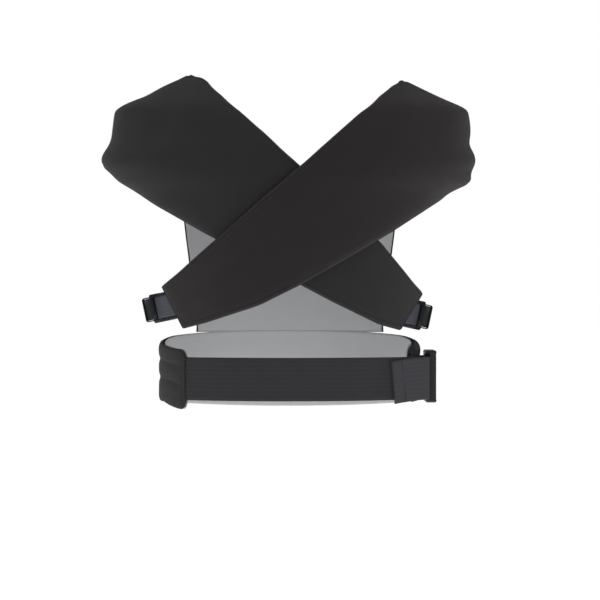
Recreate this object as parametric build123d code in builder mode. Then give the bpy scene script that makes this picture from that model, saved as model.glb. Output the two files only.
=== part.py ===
from build123d import *
from dataclasses import dataclass
from math import acos, atan2, cos, degrees, hypot, radians, sin, sqrt
import os

os.makedirs("parts", exist_ok=True)

# A crossed-strap carrier harness, as it sits on its wearer. Millimetres, +Z up.
# The wearer looks along +Y and +X is the wearer's right. The origin is the centre
# of the waist, at the belt webbing's mid-height.

# ---------------------------------------------------------------- driving sizes
waist_half_width = 141.5         # the wearer's waist, an ellipse in plan
waist_half_depth = 98.0
body_gap = 0.5                   # between the wearer and what lies on them

belt_width = 49.0                # belt webbing
belt_thickness = 1.8
belt_gap = 2.1                   # the belt's inner face off the wearer
small_width = 25.0               # webbing at the ends of the shoulder straps
small_thickness = 1.6

pad_thickness = 12.0             # waistband
cover_thickness = 1.5
lining_thickness = 1.2
pad_left_end = -118.0            # where the waistband's two back ends stop
pad_right_end = 141.0

strap_gap = 2.6                  # shoulder straps, over their own webbing
strap_thickness = 4.6
crossing_lift = 8.6              # the upper strap's extra height at the crossing

panel_thickness = 4.5            # front panel, over its lining
panel_top = 232.0
panel_half_width_top = 128.0
panel_half_width_bottom = 112.0

flap_height = 78.0               # head support, folded down on the panel
flap_half_width = 82.0
flap_thickness = 4.0
flap_gap = 2.2
snap_radius = 6.0
snap_height = 1.8
snap_sink = 1.0                  # how deep a snap is set into its fabric

running = 0.35                   # clearance between pieces that move on each other
flex_gap = 0.4                   # between a webbing and the plastic it goes round
sewn_length = 18.0               # webbing that lies inside a seam

# The wearer's body, section by section: height, half-width, half-depth, centre's x,
# and how far the surface leans to face upwards (0 upright, 1 flat).
body_sections = [
    (-75, 141.5, waist_half_depth, 0, 0),
    (0, 141.5, waist_half_depth, 0, 0),
    (50, 142.5, waist_half_depth + 0.5, 0, 0),
    (97, 150.5, waist_half_depth + 5, 0, 0),
    (155, 163, waist_half_depth + 11, 0, 0),
    (205, 175, waist_half_depth + 14, 0, 0),
    (228, 194, waist_half_depth + 14, 0, 0),
    (251, 209, waist_half_depth + 11, 0, 0.1),
    (280, 201, waist_half_depth + 3, 4, 0.2),
    (302, 199, waist_half_depth - 10, 4, 0.5),
    (320, 161, waist_half_depth - 32, 3, 0.9),
    (336, 130, waist_half_depth - 54, 4, 0.95),
    (344, 112, waist_half_depth - 68, 2, 1),
    (351, 82, waist_half_depth - 80, 2, 1),
]
side_lean = 12.0                 # the flanks' slope at the small buckles, degrees
drawn_waist = 141.5              # the waist that the sections and outlines are drawn for


def across(x):
    """A distance across the wearer, as drawn, for the wearer's own waist."""
    return x * waist_half_width / drawn_waist


def body(gap, lift=0.0):
    """The wearer's body, grown by gap; lift adds to its depth alone."""
    with BuildPart() as form:
        for height, half_width, half_depth, centre, lean in body_sections:
            with BuildSketch(Plane.XY.offset(height + gap * lean)):
                with Locations((centre, 0)):
                    Ellipse(
                        across(half_width) + gap * (1 - 0.6 * lean),
                        half_depth + lift + gap * (1 - 0.4 * lean),
                    )
        loft()
    return form.part


def layer(inner_gap, thickness, lift=0.0):
    """A layer of fabric all round the body."""
    with BuildPart() as skin:
        add(body(inner_gap + thickness, lift))
        add(body(inner_gap, lift), mode=Mode.SUBTRACT)
    return skin.part


def cut_out(skin, outline, toward):
    """The part of a layer behind an outline that is drawn in front view."""
    with BuildPart() as piece:
        with BuildSketch(Plane.XZ):
            with BuildLine():
                Polyline(*[(across(x), z) for x, z in outline], close=True)
            make_face()
        extrude(amount=-toward * 300)
        add(skin, mode=Mode.INTERSECT)
    return piece.part


def keep(part, name):
    part.label = name
    export_step(part, f"parts/{name}.step")
    return part


# ---------------------------------------------------------------- waistband
def waist_ring(inner_gap, thickness, bottom=-75.0, height=150.0):
    """A band round the waist, between two upright ellipses."""
    with BuildPart() as ring:
        with BuildSketch(Plane.XY.offset(bottom)):
            Ellipse(
                waist_half_width + inner_gap + thickness,
                waist_half_depth + inner_gap + thickness,
            )
            Ellipse(waist_half_width + inner_gap, waist_half_depth + inner_gap, mode=Mode.SUBTRACT)
        extrude(amount=height)
    return ring.part


# Side view of the waistband: the (y, z) points of its top and bottom edges, back to front.
back_reach = -140.0
front_reach = 130.0
pad_top = [(back_reach, 32), (-55, 37), (-20, 44), (40, 51), (front_reach, 56)]
pad_bottom = [(front_reach, -40), (40, -30), (-20, -27), (-55, -35), (back_reach, -40)]


def waistband(inner_gap, thickness, inset):
    """The band's outline in side and plan view, drawn in by inset."""
    left, right = pad_left_end - inset, pad_right_end + inset
    with BuildPart() as band:
        with BuildSketch(Plane.YZ.offset(-200)):
            with BuildLine():
                Polyline(*pad_top, *pad_bottom, close=True)
            make_face()
            if inset:
                offset(amount=-inset)
        extrude(amount=400)
        with BuildSketch(Plane.XY.offset(-75)):
            with BuildLine():
                Polyline((left, 0), (left, -200), (right, -200), (right, 0), close=True)
            make_face()
        extrude(amount=150, mode=Mode.SUBTRACT)
        add(waist_ring(inner_gap, thickness), mode=Mode.INTERSECT)
    return band.part


inner_band = waistband(body_gap, lining_thickness, 0)
outer_band = waistband(body_gap + lining_thickness, pad_thickness - lining_thickness, 0)

foam_inner = body_gap + lining_thickness      # the foam lies straight on the lining
foam_thickness = pad_thickness - lining_thickness - cover_thickness
with BuildPart() as waistband_foam:
    add(waistband(foam_inner, foam_thickness, cover_thickness))


# ---------------------------------------------------------------- side-release buckles
@dataclass
class Buckle:
    """A side-release buckle's sizes. Its length runs along its seat's x from the plug's
    webbing end to the socket's; x = 0 is the socket's mouth, and z is its thickness."""

    webbing: float
    webbing_thickness: float
    width: float
    thickness: float
    rear_bar: float
    slot: float
    neck: float
    reach: float
    wall: float
    skin: float
    prong_half: float
    tongue_half: float
    eye: float
    side_play: float

    @property
    def plug_length(self):
        return 2 * self.rear_bar + 2 * self.slot + self.neck

    @property
    def bar_x(self):
        return -self.neck - self.slot - self.rear_bar / 2

    @property
    def cavity_depth(self):
        return self.reach + 1.5

    @property
    def socket_length(self):
        return self.cavity_depth + self.wall + self.eye + self.rear_bar

    @property
    def cavity_height(self):
        return self.thickness - 2 * self.skin

    @property
    def load_z(self):
        return -self.thickness / 2 + flex_gap + self.webbing_thickness / 2

    @property
    def tail_z(self):
        return self.load_z + self.webbing_thickness + flex_gap

    @property
    def over_z(self):
        return self.thickness / 2 - 1.2 - self.webbing_thickness / 2

    @property
    def prong_y(self):
        return self.width / 2 - self.wall - 1.4 - self.prong_half - self.width * 0.05

    @property
    def slot_width(self):
        return self.webbing + self.side_play


waist_buckle = Buckle(
    webbing=belt_width, webbing_thickness=belt_thickness, width=60, thickness=12.5,
    rear_bar=5, slot=5, neck=13, reach=30, wall=2.6, skin=2, prong_half=2.2,
    tongue_half=6, eye=5, side_play=4.4,
)
small_buckle = Buckle(
    webbing=small_width, webbing_thickness=small_thickness, width=34, thickness=9.6,
    rear_bar=4, slot=4.2, neck=7, reach=19, wall=2, skin=1.6, prong_half=1.4,
    tongue_half=2.6, eye=4.2, side_play=2,
)


def block(seat, start, end, half_width, low, high):
    """A sketch-and-extrude block between two stations along a buckle."""
    with BuildPart() as box:
        with BuildSketch(seat.offset(low)):
            with Locations(((start + end) / 2, 0)):
                Rectangle(end - start, 2 * half_width)
        extrude(amount=high - low)
    return box.part


def make_socket(buckle, seat):
    half = buckle.thickness / 2
    with BuildPart() as socket:
        with BuildSketch(seat.offset(-half)):
            with Locations((buckle.socket_length / 2, 0)):
                Rectangle(buckle.socket_length, buckle.width)
        extrude(amount=buckle.thickness)
        corners = socket.edges().filter_by(lambda e: abs(e.tangent_at(0).dot(seat.z_dir)) > 0.99)
        far = corners.sort_by(lambda e: seat.to_local_coords(e.center()).X)
        fillet(far[2:], radius=buckle.width * 0.14)
        rim = socket.faces().sort_by(lambda f: seat.to_local_coords(f.center()).Z)
        fillet(rim[-1].edges() + rim[0].edges(), radius=buckle.skin * 0.9)
        cavity = buckle.width / 2 - buckle.wall
        height = buckle.cavity_height / 2
        add(block(seat, -1, buckle.cavity_depth, cavity, -height, height), mode=Mode.SUBTRACT)
        window = block(
            seat, buckle.reach * 0.52, buckle.cavity_depth, buckle.width, -height, height
        )
        add(window, mode=Mode.SUBTRACT)
        eye_start = buckle.cavity_depth + buckle.wall
        eye = block(
            seat, eye_start, eye_start + buckle.eye, buckle.slot_width / 2, -half - 1, half + 1
        )
        add(eye, mode=Mode.SUBTRACT)
        bar_start = eye_start + buckle.eye
        for low, high in [(half - 2.6, half + 1), (-half - 1, -half + 2.6)]:
            relief = block(
                seat, bar_start - 0.1, bar_start + buckle.rear_bar + 1,
                buckle.slot_width / 2, low, high,
            )
            add(relief, mode=Mode.SUBTRACT)
    return socket.part


def make_plug(buckle, seat):
    half = buckle.thickness / 2
    slots = buckle.slot_width / 2
    bar_low = buckle.load_z + buckle.webbing_thickness / 2 + flex_gap
    bar_high = buckle.over_z - buckle.webbing_thickness / 2 - flex_gap
    rear_low = buckle.tail_z + buckle.webbing_thickness / 2 + flex_gap
    rear_end = -buckle.plug_length
    with BuildPart() as plug:
        with BuildSketch(seat.offset(-half)):
            with Locations((rear_end / 2 - running / 2, 0)):
                Rectangle(buckle.plug_length - running, buckle.width)
        extrude(amount=buckle.thickness)
        corners = plug.edges().filter_by(lambda e: abs(e.tangent_at(0).dot(seat.z_dir)) > 0.99)
        far = corners.sort_by(lambda e: seat.to_local_coords(e.center()).X)
        fillet(far[:2], radius=buckle.width * 0.1)
        rim = plug.faces().sort_by(lambda f: seat.to_local_coords(f.center()).Z)
        fillet(rim[-1].edges() + rim[0].edges(), radius=buckle.skin * 0.9)
        # the passage: open below, with the rear crossbar and the middle bar across it
        passage = block(seat, rear_end - 1, -buckle.neck, slots, -half - 1, half + 1)
        add(passage, mode=Mode.SUBTRACT)
        rear = block(seat, rear_end, rear_end + buckle.rear_bar, slots + 1, rear_low, half - 0.6)
        add(rear)
        bar_start = buckle.bar_x - buckle.rear_bar / 2
        bar = block(
            seat, bar_start, bar_start + buckle.rear_bar, slots + 1, bar_low, bar_high
        )
        add(bar)
        # the tongue that guides the plug into its socket
        height = buckle.cavity_height / 2 - running
        tongue = block(
            seat, -buckle.neck / 2, buckle.reach * 0.8, buckle.tongue_half, -height, height
        )
        add(tongue)
        for side in (1, -1):
            with BuildSketch(seat.offset(-half - 1)):
                with Locations((0, side * buckle.prong_y)):
                    Circle(buckle.prong_half + running)
            extrude(amount=buckle.thickness + 2, mode=Mode.SUBTRACT)
    return plug.part


def make_prong(buckle, seat, side):
    """A sprung prong: an arm from its root, with the pad that latches and is pressed."""
    root = side * buckle.prong_y
    outer = root + side * buckle.prong_half
    inner = root - side * buckle.prong_half
    pad = side * (buckle.width / 2 - running)
    latch = buckle.reach * 0.52 + running
    height = buckle.cavity_height / 2 - running
    with BuildPart() as prong:
        with BuildSketch(seat.offset(-height)):
            with BuildLine():
                Polyline(
                    (0, outer), (latch, outer), (latch, pad), (buckle.reach * 0.8, pad),
                    (buckle.reach, outer), (buckle.reach, inner), (0, inner), close=True,
                )
            make_face()
            with Locations((0, root)):
                Circle(buckle.prong_half)
        extrude(amount=2 * height)
    return prong.part


def side_plane(seat):
    """The plane across a buckle's width: its x is the seat's x, its y the seat's z."""
    return Plane(seat.origin, x_dir=seat.x_dir, z_dir=-seat.y_dir)


def webbing(plane, width, thickness, points):
    """Webbing along a path drawn edge-on, with mitred bends."""
    path = [Vector(*point) for point in points]
    runs = [(b - a).normalized() for a, b in zip(path, path[1:])]
    inner, outer = [], []
    for point, before, after in zip(path, runs[:1] + runs, runs + runs[-1:]):
        side = Vector(-(before + after).Y, (before + after).X).normalized()
        reach = thickness / 2 / side.dot(Vector(-before.Y, before.X))
        inner.append(point - side * reach)
        outer.append(point + side * reach)
    with BuildPart() as strip:
        with BuildSketch(plane):
            with BuildLine():
                Polyline(*inner, *reversed(outer), close=True)
            make_face()
        extrude(amount=width / 2, both=True)
    return strip.part


def ladder_path(buckle):
    """How webbing goes round a plug's middle bar: in below, over the bar and back out."""
    clear = buckle.rear_bar / 2 + flex_gap + buckle.webbing_thickness / 2
    return [
        (buckle.bar_x + clear, buckle.load_z),
        (buckle.bar_x + clear, buckle.over_z),
        (buckle.bar_x - clear, buckle.over_z),
        (buckle.bar_x - clear, buckle.tail_z),
    ]


def eye_path(buckle):
    """How webbing goes round a socket's bar, through its eye: in above and out below."""
    level = buckle.thickness / 2 - 2.6 + flex_gap + buckle.webbing_thickness / 2
    eye = buckle.cavity_depth + buckle.wall + buckle.eye - flex_gap - buckle.webbing_thickness / 2
    return [(eye, level), (eye, -level)]


# ---------------------------------------------------------------- waist buckle and belt
waist_buckle_mouth = 0.0         # y of the socket's mouth
waist_buckle_rise = 1.5          # the buckle sits a little above the belt's middle
pad_clearance = 4.5              # between the waistband's side and the buckle
waist_seat_x = waist_half_width + body_gap + pad_thickness + pad_clearance
waist_seat_x += waist_buckle.thickness / 2
waist_seat = Plane(
    (waist_seat_x, waist_buckle_mouth, waist_buckle_rise), x_dir=(0, 1, 0), z_dir=(1, 0, 0)
)
belt_plane = Plane((waist_seat_x, waist_buckle_mouth, 0), x_dir=(0, 1, 0), z_dir=(0, 0, -1))


def on_waist(angle, gap):
    """The plan point on the waist at an angle, off the wearer by gap."""
    half_width, half_depth = waist_half_width + gap, waist_half_depth + gap
    return half_width * cos(radians(angle)), half_depth * sin(radians(angle))


def to_seat(point):
    """A plan point, as (along, outward) from the waist buckle's seat."""
    return point[1] - waist_buckle_mouth, point[0] - waist_seat_x


belt_leave_angle = -49.0         # where the belt leaves the wearer's back for the buckle
belt_middle = belt_gap + belt_thickness / 2
rear = -waist_buckle.plug_length
leave = to_seat(on_waist(belt_leave_angle, belt_middle))
bend = (rear - 3, waist_buckle.load_z)
slope = Vector(bend[0] - leave[0], bend[1] - leave[1]).normalized()
stack = belt_thickness + flex_gap    # from one layer of belt to the next
tail_bend = (bend[0] - stack * (1 - slope.X) / slope.Y, waist_buckle.tail_z)
tail_length = 52.0
tail_end = (tail_bend[0] - tail_length * slope.X, tail_bend[1] - tail_length * slope.Y)
lap = 2.0                        # the belt's straight run starts this far back on the curve
start = (leave[0] - lap * slope.X, leave[1] - lap * slope.Y)
belt_run = webbing(
    belt_plane, belt_width, belt_thickness,
    [start, bend, *ladder_path(waist_buckle), tail_bend, tail_end],
)
belt_back = waist_ring(belt_gap, belt_thickness, -belt_width / 2, belt_width)
leave_x = on_waist(belt_leave_angle, belt_middle)[0]
belt_start = pad_left_end - sewn_length
with BuildPart() as belt_webbing:
    with BuildSketch(Plane.XY.offset(-belt_width / 2)):
        with BuildLine():
            Polyline(
                (belt_start, -200), (belt_start, 0), (leave_x, 0), (leave_x, -200), close=True
            )
        make_face()
    extrude(amount=belt_width)
    add(belt_back, mode=Mode.INTERSECT)
    add(belt_run)


waist_socket = make_socket(waist_buckle, waist_seat)
waist_plug = make_plug(waist_buckle, waist_seat)

# The short webbing that ties the waist buckle's socket to the front of the waistband.
anchor_gap = body_gap + pad_thickness + 0.2
seam_steps = (18, 15, 12, 9, 6, 3, 0)     # where it is sewn, degrees before it leaves the band
seam_inner = anchor_gap + belt_thickness / 2
seam_outer = seam_inner + stack
eye_top, eye_bottom = eye_path(waist_buckle)


def seam_run(gap, point):
    """Plan points along the waistband to where a straight run to a point leaves it."""
    ahead = (point[0] + waist_buckle_mouth) / (waist_half_depth + gap)
    aside = (point[1] + waist_seat_x) / (waist_half_width + gap)
    stop = degrees(atan2(ahead, aside) + acos(1 / hypot(ahead, aside)))
    return [to_seat(on_waist(stop + step, gap)) for step in seam_steps]


over_bar = (waist_buckle.socket_length + 3, eye_top[1])
under_bar = (waist_buckle.socket_length + 2, eye_bottom[1])
with BuildPart() as waist_anchor:
    add(webbing(
        belt_plane, belt_width, belt_thickness,
        seam_run(seam_outer, over_bar) + [over_bar, eye_top, eye_bottom, under_bar]
        + seam_run(seam_inner, under_bar)[::-1],
    ))

# ---------------------------------------------------------------- front panel
panel_centre = 2.0
panel_bottom = 40.0
panel_outline = [
    (panel_centre - panel_half_width_bottom, panel_bottom),
    (panel_centre - panel_half_width_bottom, 70),
    (panel_centre - panel_half_width_bottom - 6, 110),
    (panel_centre - panel_half_width_top, 190),
    (panel_centre - panel_half_width_top, panel_top),
    (panel_centre + panel_half_width_top, panel_top),
    (panel_centre + panel_half_width_top, 190),
    (panel_centre + panel_half_width_bottom + 6, 110),
    (panel_centre + panel_half_width_bottom, 70),
    (panel_centre + panel_half_width_bottom, panel_bottom),
]
FRONT, BACK = 1, -1
full_panel = cut_out(
    layer(body_gap, lining_thickness + panel_thickness), panel_outline, FRONT
)
with BuildPart() as front_panel:
    add(cut_out(layer(body_gap + lining_thickness, panel_thickness), panel_outline, FRONT))
    add(inner_band, mode=Mode.SUBTRACT)
    add(outer_band, mode=Mode.SUBTRACT)
with BuildPart() as front_panel_lining:
    add(cut_out(layer(body_gap, lining_thickness), panel_outline, FRONT))
    add(inner_band, mode=Mode.SUBTRACT)
    add(outer_band, mode=Mode.SUBTRACT)

# The head support: a flap folded down over the panel's face, snapped at its lower corners.
flap_top = panel_top - 3
flap_inner = body_gap + lining_thickness + panel_thickness + flap_gap
flap_outline = [
    (panel_centre - flap_half_width, flap_top),
    (panel_centre - flap_half_width, flap_top - 0.8 * flap_height),
    (panel_centre - 0.86 * flap_half_width, flap_top - flap_height),
    (panel_centre + 0.86 * flap_half_width, flap_top - flap_height),
    (panel_centre + flap_half_width, flap_top - 0.8 * flap_height),
    (panel_centre + flap_half_width, flap_top),
]
with BuildPart() as head_support:
    add(cut_out(layer(flap_inner, flap_thickness), flap_outline, FRONT))


def snap_plane(fabric, x, z):
    """The plane on a fabric's outer face, straight ahead of a point in front view."""
    hits = fabric.find_intersection_points(Axis((x, 0, z), (0, 1, 0)))
    point, normal = max(hits, key=lambda hit: hit[0].Y)
    return Plane(point, z_dir=normal if normal.Y > 0 else -normal)


def snaps(fabric, height):
    """A pair of round snap fasteners, set into a fabric at the flap's lower corners."""
    with BuildPart() as pair:
        for side in (1, -1):
            seat = snap_plane(fabric, panel_centre + side * 0.72 * flap_half_width,
                              flap_top - 0.84 * flap_height)
            with BuildSketch(seat.offset(-snap_sink)):
                Circle(snap_radius)
            extrude(amount=snap_sink + height)
    return pair.part


# ---------------------------------------------------------------- shoulder straps
# Each strap as it is seen from behind: down the inner edge from the neck, along the end
# that is sewn to its webbing, and back up the outer edge to the arm.
left_back = [
    (-114, 400), (-114, 351), (-101, 346), (14.5, 239.5), (103.6, 156.5), (154, 97),
    (147.5, 84.5), (128, 55), (104, 61.5), (50, 87.5), (14, 107), (-81, 157.5),
    (-176, 211), (-187, 222.5), (-214, 240.5), (-260, 244), (-260, 400),
]
right_back = [
    (138, 400), (137, 343.5), (128, 341.5), (14.5, 239.5), (-81, 157.5), (-136.4, 110.3),
    (-144, 105.5), (-118.5, 57), (-67.6, 70), (-31.5, 83.5), (14, 106), (103.6, 156.5),
    (190, 213.5), (201.6, 219), (214, 235.5), (260, 240), (260, 400),
]
# The same from the front, down to the panel's top corner.
left_front = [
    (-114, 400), (-114, 351), (-104, 335), (-84, 290), (-58, panel_top - 12), (-119, 186),
    (-135, 186), (-170, 207), (-187, 222.5), (-214, 240.5), (-260, 244), (-260, 400),
]
right_front = [
    (138, 400), (137, 343.5), (120, 325), (96, 285), (62, panel_top - 12), (123, 186),
    (139, 186), (172, 204), (190, 213.5), (201.6, 219), (214, 235.5), (260, 240), (260, 400),
]


def make_strap(back, front, lift, *webbings):
    with BuildPart() as strap:
        add(cut_out(layer(strap_gap, strap_thickness, lift), back, BACK))
        add(cut_out(layer(strap_gap, strap_thickness), front, FRONT))
        add(full_panel, mode=Mode.SUBTRACT)
        for piece in webbings:
            add(piece, mode=Mode.SUBTRACT)
    return strap.part


# ---------------------------------------------------------------- small buckles
# A flank's frame has its x along +Y from the wearer's side and its z outward. The strap's
# webbing runs level with x behind its buckle, and the buckle turns inward with the body.
buckle_turn = 20.0               # degrees
plug_rear_y = 9.0
plug_rear_height = 7.4           # the middle of the plug's rear end, off the wearer
webbing_height = 3.4             # the webbing's middle behind the buckle, off the wearer
roll_radius = 6.6                # the webbing's tail, rolled up behind its buckle
keeper_length = 12.0
keeper_thickness = 1.3
keeper_travel = 8.0
keeper_room = keeper_travel + 1.5    # between the keeper and the plug's rear end
flank_depth = waist_half_depth + 4
anchor_seam = (0.9, 0.843, 0.784)    # the socket's webbing on the panel, shares of flank_depth
turn = radians(buckle_turn)
mouth_x = plug_rear_y + small_buckle.plug_length * cos(turn)
mouth_z = plug_rear_height - small_buckle.plug_length * sin(turn)
keeper_x = plug_rear_y - keeper_room - keeper_length / 2


def flank_half_width(height):
    return across(142.5 + (height - 50) * 8 / 47)


def flank(side, height):
    """A flank's frame: on the wearer's side at a height, leaning with the body."""
    lean = radians(side_lean)
    return Plane(
        (side * flank_half_width(height), 0, height),
        x_dir=(0, 1, 0), z_dir=(side * cos(lean), 0, -sin(lean)),
    )


def buckle_seat(frame):
    origin = frame.origin + frame.x_dir * mouth_x + frame.z_dir * mouth_z
    return Plane(
        origin,
        x_dir=frame.x_dir * cos(turn) - frame.z_dir * sin(turn),
        z_dir=frame.x_dir * sin(turn) + frame.z_dir * cos(turn),
    )


def to_flank(point):
    """A point of the buckle's side view, as (along, outward) in the flank's frame."""
    along, outward = point
    return (
        mouth_x + along * cos(turn) + outward * sin(turn),
        mouth_z - along * sin(turn) + outward * cos(turn),
    )


def round_flank(y, height, gap):
    """A point off the wearer's flank, as (along, outward) in its frame."""
    half_width = flank_half_width(height)
    outward = (half_width + gap) * sqrt(1 - (y / (flank_depth + gap)) ** 2)
    return y, outward - half_width


def strap_webbing_path(height):
    """From the strap's end, round the flank, through the plug and back to the roll."""
    behind = [
        round_flank(y, height, body_gap + small_thickness / 2) for y in (-62, -52, -42, -33)
    ]
    layer_step = small_thickness + flex_gap
    return behind + [
        (keeper_x - keeper_length / 2 - 1, webbing_height),
        (plug_rear_y - 1.0, webbing_height),
        *[to_flank(point) for point in ladder_path(small_buckle)],
        (plug_rear_y - 2.5, webbing_height + layer_step),
        (keeper_x, webbing_height + layer_step),
    ]


def anchor_path(height):
    """Round the small socket's bar, and down to the panel's side in two layers."""
    end = small_buckle.socket_length
    top, bottom = eye_path(small_buckle)
    gap = body_gap + lining_thickness + panel_thickness + 1.2 + small_thickness / 2
    over = gap + small_thickness + flex_gap
    seam = [flank_depth * share for share in anchor_seam]
    return [
        *[round_flank(y, height, over) for y in seam],
        *[to_flank(point) for point in ((end + 2, top[1]), top, bottom, (end + 1, bottom[1]))],
        *[round_flank(y, height, gap) for y in seam[::-1]],
    ]


def make_side(name, side, height):
    """The small buckle of one flank, with the webbing on both sides of it."""
    frame = flank(side, height)
    seat = buckle_seat(frame)
    plane = side_plane(frame)
    roll_low = webbing_height + small_thickness / 2 + 0.3
    low = webbing_height - small_thickness / 2 - running
    high = roll_low + 2 * roll_radius + running
    with BuildPart() as strip:
        add(webbing(plane, small_width, small_thickness, strap_webbing_path(height)))
        with BuildSketch(plane):
            with Locations((keeper_x, roll_low + roll_radius)):
                Circle(roll_radius)
        extrude(amount=small_width / 2, both=True)
    across_webbing = Plane(
        frame.origin + frame.x_dir * (keeper_x - keeper_length / 2),
        x_dir=frame.y_dir, z_dir=frame.x_dir,
    )
    with BuildPart() as keeper:
        with BuildSketch(across_webbing):
            with Locations((0, (low + high) / 2)):
                RectangleRounded(
                    small_width + 2 * running + 2 * keeper_thickness,
                    high - low + 2 * keeper_thickness, keeper_thickness * 2,
                )
                Rectangle(small_width + 2 * running, high - low, mode=Mode.SUBTRACT)
        extrude(amount=keeper_length)
    with BuildPart() as anchor:
        add(webbing(plane, small_width, small_thickness, anchor_path(height)))
        add(full_panel, mode=Mode.SUBTRACT)
    up = 1 if seat.y_dir.Z > 0 else -1
    return {
        f"{name}_strap_webbing": strip.part,
        f"{name}_tail_keeper": keeper.part,
        f"{name}_anchor_webbing": anchor.part,
        f"{name}_buckle_socket": make_socket(small_buckle, seat),
        f"{name}_buckle_plug": make_plug(small_buckle, seat),
        f"{name}_buckle_upper_prong": make_prong(small_buckle, seat, up),
        f"{name}_buckle_lower_prong": make_prong(small_buckle, seat, -up),
    }


flank_height = {"left": 81.0, "right": 73.0}
flank_side = {"left": -1, "right": 1}
sides = {}
for name in ("left", "right"):
    sides |= make_side(name, flank_side[name], flank_height[name])

left_strap = make_strap(left_back, left_front, 0, sides["right_strap_webbing"])
right_strap = make_strap(right_back, right_front, crossing_lift, sides["left_strap_webbing"])

with BuildPart() as waistband_cover:
    add(outer_band)
    add(waistband_foam.part, mode=Mode.SUBTRACT)
    add(belt_webbing.part, mode=Mode.SUBTRACT)
with BuildPart() as foam_round_belt:
    add(waistband_foam.part)
    add(belt_webbing.part, mode=Mode.SUBTRACT)

pieces = {
    "waistband_cover": waistband_cover.part,
    "waistband_foam": foam_round_belt.part,
    "waistband_lining": inner_band,
    "belt_webbing": belt_webbing.part,
    "waist_buckle_socket": waist_socket,
    "waist_buckle_plug": waist_plug,
    "waist_buckle_upper_prong": make_prong(waist_buckle, waist_seat, 1),
    "waist_buckle_lower_prong": make_prong(waist_buckle, waist_seat, -1),
    "waist_anchor_webbing": waist_anchor.part,
    "front_panel": front_panel.part,
    "front_panel_lining": front_panel_lining.part,
    "head_support": head_support.part,
    "panel_snap_studs": snaps(front_panel.part, flap_gap - running),
    "head_support_snap_caps": snaps(head_support.part, snap_height),
    "left_shoulder_strap": left_strap,
    "right_shoulder_strap": right_strap,
    **sides,
}
for name, piece in pieces.items():
    keep(piece, name)
    print(f"{name:28s} {len(piece.solids())} solid(s) {piece.volume:10.0f} mm3")
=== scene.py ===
# %% [markdown]
# # A crossed-strap carrier harness
#
# This lesson dresses a harness in cloth, webbing and plastic. The buckles and snap
# fasteners come from a CAD frame, and every soft piece is built here as a closed mesh
# that hugs the wearer's body. Lengths are in millimetres while we build, and metres in
# the finished meshes. The wearer faces +Y, so the camera looks at their back, and +X is
# the wearer's right.

# %% Load the frame
import bpy
import math
import numpy as np
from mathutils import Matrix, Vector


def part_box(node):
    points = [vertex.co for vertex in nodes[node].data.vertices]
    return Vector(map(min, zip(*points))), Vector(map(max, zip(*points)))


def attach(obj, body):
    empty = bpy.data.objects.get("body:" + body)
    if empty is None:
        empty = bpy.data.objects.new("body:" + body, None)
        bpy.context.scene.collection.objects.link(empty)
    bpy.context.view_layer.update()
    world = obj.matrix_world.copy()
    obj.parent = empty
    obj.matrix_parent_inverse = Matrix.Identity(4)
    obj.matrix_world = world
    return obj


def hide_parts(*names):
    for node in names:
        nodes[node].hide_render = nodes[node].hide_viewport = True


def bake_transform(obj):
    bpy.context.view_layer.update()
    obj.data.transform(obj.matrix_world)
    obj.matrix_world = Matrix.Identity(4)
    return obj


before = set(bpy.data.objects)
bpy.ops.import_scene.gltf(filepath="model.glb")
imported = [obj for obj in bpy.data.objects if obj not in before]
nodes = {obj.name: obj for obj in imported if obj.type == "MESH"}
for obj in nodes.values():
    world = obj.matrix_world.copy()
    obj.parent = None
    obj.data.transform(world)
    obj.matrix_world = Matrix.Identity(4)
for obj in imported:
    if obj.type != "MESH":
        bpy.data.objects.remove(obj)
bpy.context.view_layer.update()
MM = 0.001

# %% [markdown]
# ## Node trees that read like sums
#
# A pattern such as a weave is a sum of waves. It could be wired up one Math node at a
# time, but the sum is hard to see in a list of links. Here `Sock` lets a node's output
# take part in ordinary sums, from either side, and `Graph` adds any other node in one
# call. Both the shader trees and the stitches' geometry tree use them.

# %% Outputs that take part in sums
class Sock:
    """A node's output, which works in sums with numbers and with other outputs."""

    def __init__(self, graph, socket):
        self.graph, self.socket = graph, socket

    def maths(self, operation, first, second):
        return self.graph.add("ShaderNodeMath", {0: first, 1: second}, operation=operation)

    def __add__(self, other):
        return self.maths("ADD", self, other)

    def __sub__(self, other):
        return self.maths("SUBTRACT", self, other)

    def __rsub__(self, other):
        return self.maths("SUBTRACT", other, self)

    def __mul__(self, other):
        return self.maths("MULTIPLY", self, other)

    __radd__, __rmul__ = __add__, __mul__

    def sine(self):
        return self.maths("SINE", self, 0.0)


print("sums on sockets are ready")


# %% A node tree that grows one call at a time
class Graph:
    """A node tree that nodes are added to, one call each."""

    def __init__(self, tree):
        self.tree = tree
        tree.nodes.clear()

    def add(self, kind, inputs=(), out=0, **settings):
        node = self.tree.nodes.new(kind)
        for key, value in settings.items():
            setattr(node, key, value)
        for key, value in dict(inputs).items():
            if isinstance(value, Sock):
                self.tree.links.new(value.socket, node.inputs[key])
            else:
                node.inputs[key].default_value = value
        return Sock(self, node.outputs[out]) if node.outputs else node


print("the graph helper is ready")

# %% [markdown]
# ## A finish with a pattern of its own
#
# The real harness is nearly black all over, so its cloth, webbing and plastic differ by
# their surface more than by their colour. One flat colour would make them all alike.
# Every finish therefore has a fine pattern laid out in the piece's own UV map, which is
# in metres, so a thread is the same size everywhere. The pattern feeds the bump, and a
# slow noise makes the colour a little uneven, as dyed cloth is.

# %% Colours and the finish
def srgb(*levels):
    """A colour given as 8-bit screen levels, as the renderer's linear values."""
    linear = [((v / 255 + 0.055) / 1.055) ** 2.4 if v > 10 else v / 255 / 12.92 for v in levels]
    return (*linear, 1)


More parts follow.
